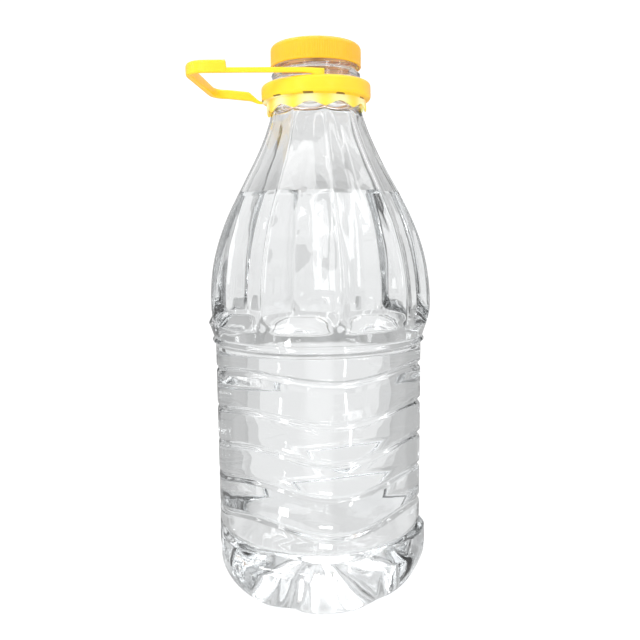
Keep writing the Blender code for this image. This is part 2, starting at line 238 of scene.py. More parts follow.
def turnedTree():
    # Turns a profile round the axis and lays flutes, waves, lobes and a screw thread over it.
    tree, given, result = newGeometryTree("turnedWithPattern", {
        "Around": 241,
        "Axis X": 0.0,
        "Front": 0.0,
        "Flutes": 10.0,
        "Crowding": 0.0,
        "Rib softness": 0.12,
        "Flute floor": 0.8,
        "Waves": 4.0,
        "Wave point": 0.0,
        "Lobes": 6.0,
        "Lobe flat": 0.1,
        "Notch power": 2.4,
        "Lean height": 0.027,
        "Thread pitch": 0.004,
        "Unevenness": 0.0,
        "Ripple length": 0.045,
        "Ripple width": 0.009,
        "Material": None,
    })
    maths = mathsIn(tree)
    mesh, row, share = gridOverProfile(tree, given["Geometry"], given["Around"])
    even = maths("MULTIPLY", share, 2 * math.pi)
    # The columns crowd together at the ribs, where the surface turns most.
    beat = maths("SINE", maths("MULTIPLY", even, given["Flutes"]))
    drawn = maths("DIVIDE", maths("MULTIPLY", beat, given["Crowding"]), given["Flutes"])
    angle = maths("SUBTRACT", even, drawn)
    radius, _, height = splitVector(tree, sampleRow(tree, given["Geometry"], row))
    numbers = [sampleRow(tree, given["Geometry"], row, label) for label in turnedColumns]
    flute, wave, lobe, thread, bulging = numbers

    # Flutes: 0 on a rib's crest, 1 over the floor between two ribs.
    turn = maths("DIVIDE", maths("MULTIPLY", angle, given["Flutes"]), 2 * math.pi)
    near = maths("ABSOLUTE", maths("SUBTRACT", turn, maths("ROUND", turn)))
    across = maths("MULTIPLY", near, 2.0)
    soft = given["Rib softness"]
    square = maths("MULTIPLY_ADD", across, across, maths("MULTIPLY", soft, soft))
    rounded = maths("SUBTRACT", maths("SQRT", square), soft)
    part = maths("MINIMUM", maths("DIVIDE", rounded, given["Flute floor"]), 1.0)
    hollow = maths("SINE", maths("MULTIPLY", part, math.pi / 2))

    # Waves lift a row and let it down; lobes notch the base; the thread winds round the neck.
    beats = maths("MULTIPLY", angle, given["Waves"])
    smooth = maths("COSINE", beats)
    arch = maths("ABSOLUTE", maths("SINE", maths("MULTIPLY", beats, 0.5)))
    pointed = maths("MULTIPLY_ADD", arch, -2.0, 1.0)
    gap = maths("SUBTRACT", pointed, smooth)
    swing = maths("MULTIPLY_ADD", gap, given["Wave point"], smooth)
    lobeBeat = maths("COSINE", maths("MULTIPLY", angle, given["Lobes"]))
    halfBeat = maths("DIVIDE", maths("SUBTRACT", 1.0, lobeBeat), 2.0)
    flat = given["Lobe flat"]
    rest = maths("SUBTRACT", 1.0, flat)
    bare = maths("DIVIDE", maths("SUBTRACT", halfBeat, flat), rest)
    # The notches are narrow under the base and widen as they climb its corner.
    lean = maths("MINIMUM", maths("DIVIDE", height, given["Lean height"]), 1.0)
    power = maths("SUBTRACT", given["Notch power"], lean)
    notch = maths("POWER", maths("MAXIMUM", bare, 0.0), power)
    depth = maths("MULTIPLY", lobe, notch)
    inward = maths("MULTIPLY", depth, lean)
    upward = maths("SUBTRACT", depth, inward)
    pitches = maths("DIVIDE", height, given["Thread pitch"])
    climb = maths("SUBTRACT", pitches, maths("DIVIDE", angle, 2 * math.pi))
    winding = maths("COSINE", maths("MULTIPLY", climb, 2 * math.pi))
    crest = maths("POWER", maths("MAXIMUM", winding, 0.0), 2.0)

    fluted = maths("SUBTRACT", radius, maths("MULTIPLY", flute, hollow))
    sunk = maths("SUBTRACT", fluted, inward)
    # The blown wall is a little uneven, in long upright ripples that die away towards the axis.
    rippleFull = 0.03
    winds = maths("DIVIDE", radius, given["Ripple width"])
    field = addNode(tree, "ShaderNodeTexNoise")
    acrossX = maths("MULTIPLY", winds, maths("SINE", angle))
    acrossY = maths("MULTIPLY", winds, maths("COSINE", angle))
    along = maths("DIVIDE", height, given["Ripple length"])
    tree.links.new(joinVector(tree, acrossX, acrossY, along), field.inputs["Vector"])
    setInputs(field, {"Scale": 1.0, "Detail": 1.5})
    blown = maths("MINIMUM", maths("DIVIDE", radius, rippleFull), 1.0)
    uneven = maths("SUBTRACT", field.outputs["Fac"], 0.5)
    ripple = maths("MULTIPLY", uneven, given["Unevenness"])
    threaded = maths("MULTIPLY_ADD", thread, crest, sunk)
    outer = maths("MULTIPLY_ADD", ripple, maths("MULTIPLY", blown, bulging), threaded)
    lowered = maths("SUBTRACT", height, maths("MULTIPLY", wave, swing))
    rise = maths("ADD", lowered, upward)
    facing = maths("ADD", angle, given["Front"])
    x = maths("MULTIPLY_ADD", outer, maths("SINE", facing), given["Axis X"])
    y = maths("MULTIPLY", maths("MULTIPLY", outer, maths("COSINE", facing)), -1.0)
    shaped = moveTo(tree, mesh, joinVector(tree, x, y, rise))
    finishTree(tree, shaped, given["Material"], result["Geometry"])
    return tree


def sweptTree():
    # Sweeps a rounded oblong along a path; each point holds its own half sizes and its side.
    inputs = {"Around": 33, "Squareness": 0.5, "Material": None}
    tree, given, result = newGeometryTree("sweptStrap", inputs)
    maths = mathsIn(tree)
    mesh, row, share = gridOverProfile(tree, given["Geometry"], given["Around"])
    angle = maths("MULTIPLY", share, 2 * math.pi)
    x, y, z = splitVector(tree, sampleRow(tree, given["Geometry"], row))
    numbers = [sampleRow(tree, given["Geometry"], row, label) for label in sweptColumns]
    halfThick, halfHigh, sideX, sideY = numbers
    reach = []
    for wave in ("COSINE", "SINE"):
        value = maths(wave, angle)
        grown = maths("POWER", maths("ABSOLUTE", value), given["Squareness"])
        reach.append(maths("MULTIPLY", grown, maths("SIGN", value)))
    out = maths("MULTIPLY", reach[0], halfThick)
    spotX = maths("MULTIPLY_ADD", out, sideX, x)
    spotY = maths("MULTIPLY_ADD", out, sideY, y)
    spotZ = maths("MULTIPLY_ADD", reach[1], halfHigh, z)
    shaped = moveTo(tree, mesh, joinVector(tree, spotX, spotY, spotZ))
    finishTree(tree, shaped, given["Material"], result["Geometry"])
    return tree


def bezier(points, t):
    u = 1 - t
    weights = (u**3, 3 * u * u * t, 3 * u * t * t, t**3)
    return tuple(sum(w * point[i] for w, point in zip(weights, points)) for i in (0, 1))


def lerp(first, second, t):
    return first + (second - first) * t


def evenly(steps, first=0):
    # Even shares from the first step to the whole.
    return [i / steps for i in range(first, steps + 1)]


def smoothStep(x):
    x = min(1.0, max(0.0, x))
    return x * x * (3 - 2 * x)


def plainRow(radius, height, flute=0.0, wave=0.0, lobe=0.0, thread=0.0, blown=0.0):
    return (radius, height, flute, wave, lobe, thread, blown)


def insetRows(rows, depth):
    # The same profile, moved inwards square to itself.
    moved = []
    for i, row in enumerate(rows):
        before, after = rows[max(i - 1, 0)], rows[min(i + 1, len(rows) - 1)]
        runR, runZ = after[0] - before[0], after[1] - before[1]
        length = math.hypot(runR, runZ) or 1.0
        radius = row[0] - depth * runZ / length if row[0] > 0 else 0.0
        moved.append((max(radius, 0.0), row[1] + depth * runR / length, *row[2:]))
    return moved


def turnedPiece(name, rows, values):
    points = []
    for radius, height, *reliefs, blown in rows:
        place = (radius * mm, 0.0, height * mm)
        points.append((place, *(relief * mm for relief in reliefs), blown))
    return bakeNodes(profileObject(name + "Profile", points, turnedColumns), turned, values, name)


def outwards(piece):
    mesh = bmesh.new()
    mesh.from_mesh(piece.data)
    bmesh.ops.recalc_face_normals(mesh, faces=mesh.faces[:])
    if mesh.calc_volume(signed=True) < 0:
        bmesh.ops.reverse_faces(mesh, faces=mesh.faces[:])
    mesh.to_mesh(piece.data)
    mesh.free()


turned = turnedTree()
swept = sweptTree()

# Bottle: millimetres, heights from the standing plane.
bottleShape = {
    "frontRib": 10.0,           # degrees round from the front
    "around": 241,
    "crowding": 0.45,
    "wall": 0.45,
    "baseCentre": 10.5,
    "gate": ((0.0, 0.9), (1.6, 0.8), (2.2, 0.1)),   # radius, and how far below the raised centre
    "domePower": 1.6,
    "footInner": 41.0,
    "footOuter": 46.0,
    "footPull": (7.0, 3.0),
    "bumper": 62.0,
    "bumperLow": 27.0,
    "bumperPull": 11.0,
    "bumperTuck": 0.2,
    "lobes": 6,
    "spoke": 4.6,
    "footNotch": 1.2,
    "lobeDepth": 4.4,
    "lobeFade": 6,              # rows of the base groove over which the lobes die away
    "body": 58.6,
    "landBulge": 0.05,
    "grooveDepth": 1.5,
    "grooveHalf": 2.5,
    "baseGroove": 38.5,
    "waistLip": 60.4,
    "waistLipHeight": 144.6,
    "waistLipHalf": 2.2,
    "coneFoot": 59.5,           # the plain cone between the lip and the flutes
    "coneTop": 62.2,
    "coneHigh": 154.4,
    "grooves": ((52.0, 3.4), (72.0, 3.4), (90.3, 3.2), (109.6, 2.5), (130.5, 2.0)),
    "waves": 4,
    "shoulder": 63.6,
    "shoulderLow": 163.0,
    "shoulderGap": 1.0,         # least rise from there to the curve's first row
    "flutes": 10,
    "fluteShare": 0.088,
    "fluteTop": 270.0,
    "fluteFade": 7.0,
    "ribSoftness": 0.06,
    "ribThickness": 0.9,
    "unevenness": 0.5,
    "shoulderCurve": ((63.6, 166.0), (62.4, 213.0), (36.5, 232.0), (25.6, 269.0)),
    "neck": 24.2,
    "neckLow": 272.5,
    "support": 26.4,
    "supportLow": 281.8,
    "supportHigh": 283.4,
    "bead": 24.5,
    "beadHeight": 289.5,
    "threadRoot": 22.4,
    "thread": 0.95,
    "threadPitch": 4.2,
    "threadFade": 0.2,          # share of its height over which each end of the thread fades
    "rimHeight": 302.3,
    "rim": 21.6,
    "bore": 20.3,
    "boreHeights": (296.0, 290.0, 284.0, 279.0),
    "fullRib": 3.0,             # flute depth from which the ribs have their whole extra thickness
    "blownFrom": 20.0,          # height from which the wall is uneven to the full
    "clear": {
        "tint": (0.985, 0.99, 0.99),
        "passing": (0.97, 0.975, 0.98),
        "ior": 1.57,
        "roughness": 0.01,
    },
}


def baseRows(s):
    # From the raised centre out over the foot and up the rounded corner.
    rows = [plainRow(radius, s["baseCentre"] - drop) for radius, drop in s["gate"]]
    for share in evenly(16, 2)[:-1]:
        height = s["baseCentre"] * (1 - share ** s["domePower"])
        rows.append(plainRow(s["footInner"] * share, height, lobe=s["spoke"] * share))
    for share in evenly(4):
        radius = lerp(s["footInner"], s["footOuter"], share)
        notch = lerp(s["spoke"], s["footNotch"], smoothStep(share))
        rows.append(plainRow(radius, 0.0, lobe=notch))
    pullOut, pullUp = s["footPull"]
    corner = (
        (s["footOuter"], 0.0),
        (s["footOuter"] + pullOut, pullUp),
        (s["bumper"], s["bumperLow"] - s["bumperPull"]),
        (s["bumper"], s["bumperLow"]),
    )
    for share in evenly(16, 1):
        radius, height = bezier(corner, share)
        notch = lerp(s["footNotch"], s["lobeDepth"], share)
        rows.append(plainRow(radius, height, lobe=notch))
    return rows


def grooveRows(s, height, wave, lowLand, highLand):
    # The land rolls over its edge into a round bottom.
    rows = []
    for share in evenly(8):
        across = 2 * share - 1
        land = lowLand if across < 0 else highLand
        dip = 0.5 + 0.5 * math.cos(math.pi * across)
        radius = lerp(land, s["body"] - s["grooveDepth"], dip)
        rows.append(plainRow(radius, height + across * s["grooveHalf"], wave=wave))
    return rows


def lipRows(s):
    # The lip between the body and the shoulder.
    rows = []
    for share in evenly(8):
        across = 2 * share - 1
        land = s["body"] if across < 0 else s["coneFoot"]
        radius = lerp(land, s["waistLip"], 0.5 + 0.5 * math.cos(math.pi * across))
        rows.append(plainRow(radius, s["waistLipHeight"] + across * s["waistLipHalf"]))
    return rows


def landRows(low, high, bulge):
    # The stretch between two grooves swells a little.
    rows = []
    for t in evenly(4, 1)[:-1]:
        row = [lerp(first, last, t) for first, last in zip(low, high)]
        row[0] += bulge * math.sin(math.pi * t)
        rows.append(tuple(row))
    return rows


def bodyRows(s):
    first = grooveRows(s, s["baseGroove"], 0.0, s["bumper"] - s["bumperTuck"], s["body"])
    for i, (radius, height, *_) in enumerate(first):
        left = 1 - smoothStep(i / s["lobeFade"])
        first[i] = plainRow(radius, height, lobe=s["lobeDepth"] * left)
    bands = [first]
    for height, wave in s["grooves"]:
        bands.append(grooveRows(s, height, wave, s["body"], s["body"]))
    bands.append(lipRows(s))
    rows = list(bands[0])
    for band in bands[1:]:
        rows += landRows(rows[-1], band[0], s["landBulge"]) + band
    return rows


def shoulderRows(s):
    rows = []
    full = s["shoulder"] * s["fluteShare"]
    start = s["waistLipHeight"] + s["waistLipHalf"]
    for t in evenly(6, 1)[:-1]:
        radius = lerp(s["coneFoot"], s["coneTop"], t)
        rows.append(plainRow(radius, lerp(start, s["coneHigh"], t)))
    # The ribs' crests round out to the shoulder while the flutes set in between them.
    for t in evenly(10):
        grown = math.sin(math.pi / 2 * t)
        radius = lerp(s["coneTop"], s["shoulder"], grown)
        height = lerp(s["coneHigh"], s["shoulderLow"], t)
        rows.append(plainRow(radius, height, flute=full * (grown + t) / 2))
    for t in evenly(46):
        radius, height = bezier(s["shoulderCurve"], t)
        if height > s["shoulderLow"] + s["shoulderGap"]:
            left = math.sqrt(min(1.0, max(0.0, (s["fluteTop"] - height) / s["fluteFade"])))
            rows.append(plainRow(radius, height, flute=radius * s["fluteShare"] * left))
    return rows


def neckRows(s):
    low, high, bead = s["supportLow"], s["supportHigh"], s["beadHeight"]
    corners = [
        (s["neck"] + 0.5, s["neckLow"] - 1.2),
        (s["neck"], s["neckLow"]),
        (s["neck"], low - 0.5),
        (s["neck"] + 0.4, low - 0.05),
        (s["support"] - 0.3, low + 0.1),
        (s["support"], low + 0.5),
        (s["support"], high - 0.5),
        (s["support"] - 0.3, high - 0.1),
        (s["neck"] + 0.4, high + 0.05),
        (s["neck"], high + 0.5),
        (s["neck"] - 0.2, bead - 1.0),
        (s["bead"], bead - 0.4),
        (s["bead"] - 0.1, bead + 0.4),
        (s["threadRoot"] + 0.8, bead + 1.0),
        (s["threadRoot"], bead + 1.6),
    ]
    rows = [plainRow(radius, height) for radius, height in corners]
    start, stop = bead + 1.6, s["rimHeight"] - 0.7
    for t in evenly(22, 1)[:-1]:
        fade = smoothStep(min(t, 1 - t) / s["threadFade"])
        rows.append(plainRow(s["threadRoot"], lerp(start, stop, t), thread=s["thread"] * fade))
    rows.append(plainRow(s["threadRoot"] - 0.1, stop))
    rows.append(plainRow(s["rim"], s["rimHeight"] - 0.05))
    rows.append(plainRow(s["rim"] - 0.4, s["rimHeight"]))
    return rows


def boreRows(s):
    # Down the neck's plain inside, to where the blown wall starts.
    rows = [plainRow(s["bore"] + 0.3, s["rimHeight"]), plainRow(s["bore"], s["rimHeight"] - 0.4)]
    rows += [plainRow(s["bore"], height) for height in s["boreHeights"]]
    rows.append(plainRow(s["bore"] + 1.2, s["neckLow"] + 1.5))
    rows.append(plainRow(s["neck"] - 1.3, s["neckLow"] - 1.0))
    return rows


def liningOf(s, rows, depth):
    # The inside follows the flutes less deeply, so the ribs are thick and the neck thicker still.
    moved = []
    for row in insetRows(rows, depth):
        extra = s["ribThickness"] * min(1.0, row[2] / s["fullRib"])
        moved.append((max(row[0] - extra, 0.0), row[1], row[2] - extra, *row[3:]))
    return moved


def clearMaterial(name, look):
    material, tree, shader = newMaterial(name)
    setInputs(shader, {
        "Base Color": (*look["tint"], 1),
        "Roughness": look["roughness"],
        "IOR": look["ior"],
        "Transmission Weight": 1.0,
    })
    # Light goes on nearly unhindered to what stands behind, as it does through thin clear plastic.
    path = addNode(tree, "ShaderNodeLightPath").outputs
    unhindered = mathsIn(tree)("MAXIMUM", path["Is Shadow Ray"], path["Is Diffuse Ray"])
    seeThrough(tree, unhindered, look["passing"])
    return material


def bottleValues(material):
    s = bottleShape
    return {
        "Around": s["around"],
        "Axis X": axisX,
        "Front": math.radians(s["frontRib"]),
        "Flutes": float(s["flutes"]),
        "Crowding": s["crowding"],
        "Rib softness": s["ribSoftness"],
        "Waves": float(s["waves"]),
        "Lobes": float(s["lobes"]),
        "Lean height": s["bumperLow"] * mm,
        "Thread pitch": s["threadPitch"] * mm,
        "Unevenness": s["unevenness"] * mm,
        "Material": material,
    }


clearPlastic = clearMaterial("clearPlastic", bottleShape["clear"])
wallRows = baseRows(bottleShape) + bodyRows(bottleShape) + shoulderRows(bottleShape)
blownRows = [(*row[:6], min(1.0, row[1] / bottleShape["blownFrom"])) for row in wallRows]
liningRows = liningOf(bottleShape, blownRows, bottleShape["wall"])
skinRows = blownRows + neckRows(bottleShape) + boreRows(bottleShape) + liningRows[::-1]
print("bottle rows:", len(skinRows), "of which blown", len(blownRows))
bottle = turnedPiece("bottleShell", skinRows, bottleValues(clearPlastic))
outwards(bottle)
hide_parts("bottle")
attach(bottle, "root")
print("bottle triangles:", 2 * len(bottle.data.polygons))

# Water: reaches a little into the wall, so that no air shows between the two.
waterShape = {
    "level": 224.0,
    "intoWall": 0.15,
    "climb": 1.5,               # how far it creeps up the wall
    "creep": 2.0,               # how far from the wall that dies away
    "rings": (0.35, 0.8, 1.4, 2.2, 3.2, 4.6, 6.5, 9.0, 13.0, 18.0, 24.0, 32.0),
    "edgeGap": 0.6,             # least rise from the last whole row to the edge
    "clear": {
        "tint": (0.99, 0.995, 1.0),
        "passing": (0.98, 0.985, 0.99),
        "ior": 1.333,
        "roughness": 0.0,
    },
}


def waterRows(s, w):
    wet = liningOf(s, blownRows, s["wall"] - w["intoWall"])
    top = w["level"] + w["climb"]
    rows = [row for row in wet if row[1] < top - w["edgeGap"]]
    below, above = rows[-1], wet[len(rows)]
    share = (top - below[1]) / (above[1] - below[1])
    edge = tuple(lerp(first, last, share) for first, last in zip(below, above))
    rows.append(edge)
    for step in w["rings"]:
        height = w["level"] + w["climb"] * math.exp(-step / w["creep"])
        left = (edge[0] - step) / edge[0]
        rows.append(plainRow(edge[0] - step, height, flute=edge[2] * left, blown=left))
    rows.append(plainRow(0.0, w["level"]))
    return rows


clearWater = clearMaterial("clearWater", waterShape["clear"])
water = turnedPiece("waterFill", waterRows(bottleShape, waterShape), bottleValues(clearWater))
outwards(water)
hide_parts("water")
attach(water, "root")
print("water triangles:", 2 * len(water.data.polygons))


def mouldedGroup():
    # Fine unevenness of moulded plastic: a soft mottling, a faint grain and dull worn patches.
    wornAbove, wornGain, grainShare = 0.52, 4.0, 0.35
    tree = bpy.data.node_groups.new("mouldedPlastic", "ShaderNodeTree")
    addInputs(tree, {
        "Color": (1, 1, 1, 1),
        "Mottling": 0.08,
        "Mottle scale": 90.0,
        "Grain scale": 2600.0,
        "Roughness": 0.35,
        "Wear": 0.15,
    })
    for label, kind in (("Color", "Color"), ("Roughness", "Float"), ("Height", "Float")):
        tree.interface.new_socket(label, in_out="OUTPUT", socket_type="NodeSocket" + kind)
    given = addNode(tree, "NodeGroupInput").outputs
    result = addNode(tree, "NodeGroupOutput").inputs
    place = addNode(tree, "ShaderNodeTexCoord").outputs["Object"]
    maths = mathsIn(tree)

    def noise(scale, detail):
        node = addNode(tree, "ShaderNodeTexNoise")
        tree.links.new(place, node.inputs["Vector"])
        feed(tree, node.inputs["Scale"], scale)
        node.inputs["Detail"].default_value = detail
        return node.outputs["Fac"]

    clouds = noise(given["Mottle scale"], 3.0)
    grain = noise(given["Grain scale"], 2.0)
    swing = maths("MULTIPLY", maths("SUBTRACT", clouds, 0.5), given["Mottling"])
    shade = addNode(tree, "ShaderNodeHueSaturation")
    tree.links.new(given["Color"], shade.inputs["Color"])
    tree.links.new(maths("ADD", swing, 1.0), shade.inputs["Value"])
    tree.links.new(shade.outputs[0], result["Color"])
    worn = maths("MAXIMUM", maths("SUBTRACT", clouds, wornAbove), 0.0)
    dull = maths("MULTIPLY", worn, given["Wear"])
    tree.links.new(maths("MULTIPLY_ADD", dull, wornGain, given["Roughness"]), result["Roughness"])
    tree.links.new(maths("MULTIPLY_ADD", grain, grainShare, clouds), result["Height"])
    return tree


moulded = mouldedGroup()


def placeRound(tree):
    # Object coordinates measured from the bottle's axis.
    x, y, z = splitVector(tree, addNode(tree, "ShaderNodeTexCoord").outputs["Object"])
    return mathsIn(tree)("SUBTRACT", x, axisX), y, z


def between(tree, value, low, high):
    maths = mathsIn(tree)
    above = maths("GREATER_THAN", value, low)
    return maths("MULTIPLY", above, maths("LESS_THAN", value, high))


def yellowMaterial(name, look):
    material, tree, shader = newMaterial(name)
    maths = mathsIn(tree)
    group = addNode(tree, "ShaderNodeGroup", node_tree=moulded)
    group.inputs["Color"].default_value = (*look["colour"], 1)
    for label in ("Mottling", "Roughness", "Wear"):
        group.inputs[label].default_value = look[label.lower()]
    # Painted shade: a deeper, more orange colour where the surface turns away from the view.
    facing = addNode(tree, "ShaderNodeLayerWeight").outputs["Facing"]
    edge = maths("MULTIPLY", maths("POWER", facing, 2.0), look["edge"])
    outside = mixColours(tree, edge, group.outputs["Color"], (*look["grazingShadeColour"], 1))
    # Painted light inside round the neck: a paler tan for the dim light there, with painted thread
    # shade.
    aside, y, z = placeRound(tree)
    climb = maths("DIVIDE", z, bottleShape["threadPitch"] * mm / 2)
    winds = maths("DIVIDE", maths("ARCTAN2", aside, y), math.pi)
    wave = maths("SINE", maths("MULTIPLY", maths("ADD", climb, winds), 2 * math.pi))
    shade = maths("MULTIPLY_ADD", wave, look["shadeSwing"], look["shade"])
    shaded = mixColours(tree, shade, (*look["insideDimLightColour"], 1), (*look["shadeColour"], 1))
    out = maths("SQRT", maths("MULTIPLY_ADD", aside, aside, maths("MULTIPLY", y, y)))
    low, high = look["insideHeights"]
    within = maths("LESS_THAN", out, look["insideRadius"] * mm)
    inside = maths("MULTIPLY", within, between(tree, z, low * mm, high * mm))
    tree.links.new(mixColours(tree, inside, outside, shaded), shader.inputs["Base Color"])
    tree.links.new(group.outputs["Roughness"], shader.inputs["Roughness"])
    bump = addNode(tree, "ShaderNodeBump")
    setInputs(bump, {"Strength": look["bump"], "Distance": look["bumpDepth"] * mm})
    tree.links.new(group.outputs["Height"], bump.inputs["Height"])
    tree.links.new(bump.outputs[0], shader.inputs["Normal"])
    setInputs(shader, {
        "Subsurface Weight": look["glow"],
        "Subsurface Scale": look["glowDepth"] * mm,
        "Subsurface Radius": look["glowSpread"],
    })
    return material


# What the two yellow mouldings have in common.
yellowLook = {
    # The painted shade of the thread over the inside.
    "shade": 0.35,
    "shadeSwing": 0.45,
    "shadeColour": (0.22, 0.10, 0.03),
    "bumpDepth": 0.2,
    "glow": 0.5,
    "glowDepth": 6.0,
    "glowSpread": (1.0, 0.5, 0.06),
}

# Cap: a plain screw cap with fine grip ribs, hollow inside, where the thread is only painted shade.
capShape = {
    "radius": 24.85,
    "bottom": 293.6,
    "top": 305.2,
    "corner": 2.8,
    "topSteps": (               # radius, and how far below the top
        (0.0, 0.35), (1.3, 0.3), (1.7, 0.12), (6.0, 0.1), (12.0, 0.1), (17.0, 0.1),
        (18.0, 0.12), (18.5, 0.02), (19.5, 0.0),
    ),
    "sideHeights": (300.4, 298.4, 296.4, 295.3),
    "collar": 0.05,             # how far the plain collar under the grip stands out
    "bore": 23.55,
    "boreHeights": (295.0, 297.0, 299.0, 301.0, 302.5),
    "boreTop": 303.0,
    "boreTopRings": (23.05, 12.0, 0.0),
    "gripRibs": 120,
    "gripDepth": 0.12,
    "around": 961,
    "look": yellowLook | {
        "colour": (1.0, 0.50, 0.010),
        # Painted shade where the surface turns away from the view.
        "edge": 0.5,
        "grazingShadeColour": (1.0, 0.36, 0.005),
        "insideRadius": 23.9,
        "insideHeights": (293.0, 303.2),
        # Painted tan for the dim light inside, under the painted thread shade.
        "insideDimLightColour": (0.86, 0.60, 0.33),
        "mottling": 0.10,
        "roughness": 0.36,
        "wear": 0.25,
        "bump": 0.25,
    },
}


def capRows(s):
    rows = [plainRow(radius, s["top"] - drop) for radius, drop in s["topSteps"]]
    steps = 8
    for i in range(steps + 1):
        turn = math.pi / 2 * i / steps
        radius = s["radius"] - s["corner"] + s["corner"] * math.sin(turn)
        height = s["top"] - s["corner"] + s["corner"] * math.cos(turn)
        rows.append(plainRow(radius, height, flute=s["gripDepth"] * smoothStep((i - 4) / 4)))
    rows += [plainRow(s["radius"], height, flute=s["gripDepth"]) for height in s["sideHeights"]]
    rows += [
        plainRow(s["radius"], s["bottom"] + 1.3, flute=s["gripDepth"] * 0.6),
        plainRow(s["radius"] + s["collar"], s["bottom"] + 1.0),
        plainRow(s["radius"] + s["collar"], s["bottom"] + 0.3),
        plainRow(s["radius"] - 0.15, s["bottom"]),
        plainRow(s["bore"] + 0.25, s["bottom"]),
        plainRow(s["bore"], s["bottom"] + 0.3),
    ]
    rows += [plainRow(s["bore"], height) for height in s["boreHeights"]]
    rows += [plainRow(radius, s["boreTop"]) for radius in s["boreTopRings"]]
    return rows


capYellow = yellowMaterial("capYellow", capShape["look"])
cap = turnedPiece("screwCap", capRows(capShape), {
    "Around": capShape["around"],
    "Axis X": axisX,
    "Flutes": float(capShape["gripRibs"]),
    "Rib softness": 0.35,
    "Flute floor": 0.75,
    "Material": capYellow,
})
outwards(cap)
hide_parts("cap")
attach(cap, "root")
print("cap triangles:", 2 * len(cap.data.polygons))

# Handle: one moulding of a band clipped under the neck's ring, its scalloped skirt and the loop.
handleShape = {
    "band": 30.2,
    "bandLow": 275.6,
    "bandHigh": 284.6,
    "bore": 27.2,
    "crown": 2.0,
    "lowCrown": 0.7,            # how much of the crown the lower edge has
    "skirt": 27.6,
    "skirtBore": 26.6,
    "skirtLow": 270.7,
    "hemDrop": 0.25,
    "skirtFade": 272.6,
    "boreFade": 273.0,
    "scallop": 1.4,
    "point": 0.45,              # how pointed the teeth of the skirt are
    "lipBore": 24.9,
    "lipLow": 278.0,
    "lipHigh": 280.0,
    # Painted shade in the crease under the band.
    "creaseShadeBand": 0.35,
    "creaseShadeArch": 0.8,
    "creaseShadeStrength": 0.85,
    "creaseShadeColour": (0.12, 0.05, 0.01),
    # Painted light: the paler colour of the skirt, as if daylight shone through it.
    "paintedDaylightBelow": 275.3,
    "paintedDaylightLeast": 0.1,
    "paintedDaylightArch": 0.75,
    "paintedDaylightColour": (1.0, 0.95, 0.55),
    "tilt": 1.4,                # degrees, lower on the side of the loop
    "around": 241,
    "loopAround": 33,
    "reach": 68.3,
    "farReach": 63.2,
    "armOffset": 28.2,
    "strap": (2.6, 2.2),        # height and thickness
    "grip": (6.4, 3.4),
    "farStrapHigh": 1.6,
    "farGripHigh": 5.1,
    "strapEnd": 4.5,
    "endLow": 283.6,
    "endPart": 0.06,            # share of the strap that reaches down to the band
    "endFade": 0.1,
    "bandLift": 0.8,            # how much lower the strap runs over the band
    "liftFade": 5.0,
    "gripStep": 0.8,            # length over which the strap widens to the grip
    "gripNear": -45.6,
    "gripFar": -40.2,
    "farStrap": -33.4,
    "farEnd": -6.0,
    "corner": 9.0,
    "nearLow": 285.6,
    "cornerLow": 283.4,
    "farLow": 282.1,
    "farStrapLow": 280.2,
    "look": yellowLook | {
        "colour": (1.0, 0.68, 0.02),
        # Painted shade where the surface turns away from the view.
        "edge": 0.9,
        "grazingShadeColour": (1.0, 0.40, 0.008),
        "insideRadius": 27.4,
        "insideHeights": (280.0, 286.0),
        # Painted tan for the dim light inside, under the painted thread shade.
        "insideDimLightColour": (0.90, 0.62, 0.28),
        "mottling": 0.12,
        "roughness": 0.34,
        "wear": 0.2,
        "bump": 0.3,
    },
}


def bandRows(s):
    inner, outer, hem = s["skirtBore"], s["skirt"], s["skirtLow"]
    under = hem - s["hemDrop"]
    hemLine = ((inner, hem), (inner + 0.2, under), (outer - 0.2, under), (outer, hem))
    rows = [plainRow(radius, height, wave=s["scallop"]) for radius, height in hemLine]
    rows.append(plainRow(outer, s["skirtFade"], wave=s["scallop"] * 0.4))
    rows += [plainRow(outer - 0.1, s["bandLow"] - 0.9), plainRow(outer - 0.1, s["bandLow"])]
    steps = 6
    turns = [math.pi / 2 * i / steps for i in range(steps + 1)]
    for turn in turns:
        radius = s["band"] - s["crown"] * s["lowCrown"] * (1 - math.sin(turn))
        rows.append(plainRow(radius, s["bandLow"] + s["crown"] * (1 - math.cos(turn))))
    for turn in turns:
        radius = s["band"] - s["crown"] * (1 - math.cos(turn))
        rows.append(plainRow(radius, s["bandHigh"] - s["crown"] * (1 - math.sin(turn))))
    rows += [
        plainRow(s["bore"] + 0.2, s["bandHigh"]),
        plainRow(s["bore"], s["bandHigh"] - 0.2),
        plainRow(s["bore"], s["lipHigh"]),
        plainRow(s["lipBore"] + 0.2, s["lipHigh"] - 0.1),
        plainRow(s["lipBore"], s["lipHigh"] - 0.4),
        plainRow(s["lipBore"], s["lipLow"] + 0.2),
        plainRow(inner - 0.1, s["bandLow"] + 1.0),
        plainRow(inner, s["boreFade"], wave=s["scallop"] * 0.3),
    ]
    return rows + rows[:1]


def cornerPoints(s, centreX, centreY, start, stop):
    steps = 10
    points = []
    for i in range(steps + 1):
        turn = math.radians(start + (stop - start) * i / steps)
        outX, outY = s["corner"] * math.cos(turn), s["corner"] * math.sin(turn)
        points.append((centreX + outX, centreY + outY))
    return points


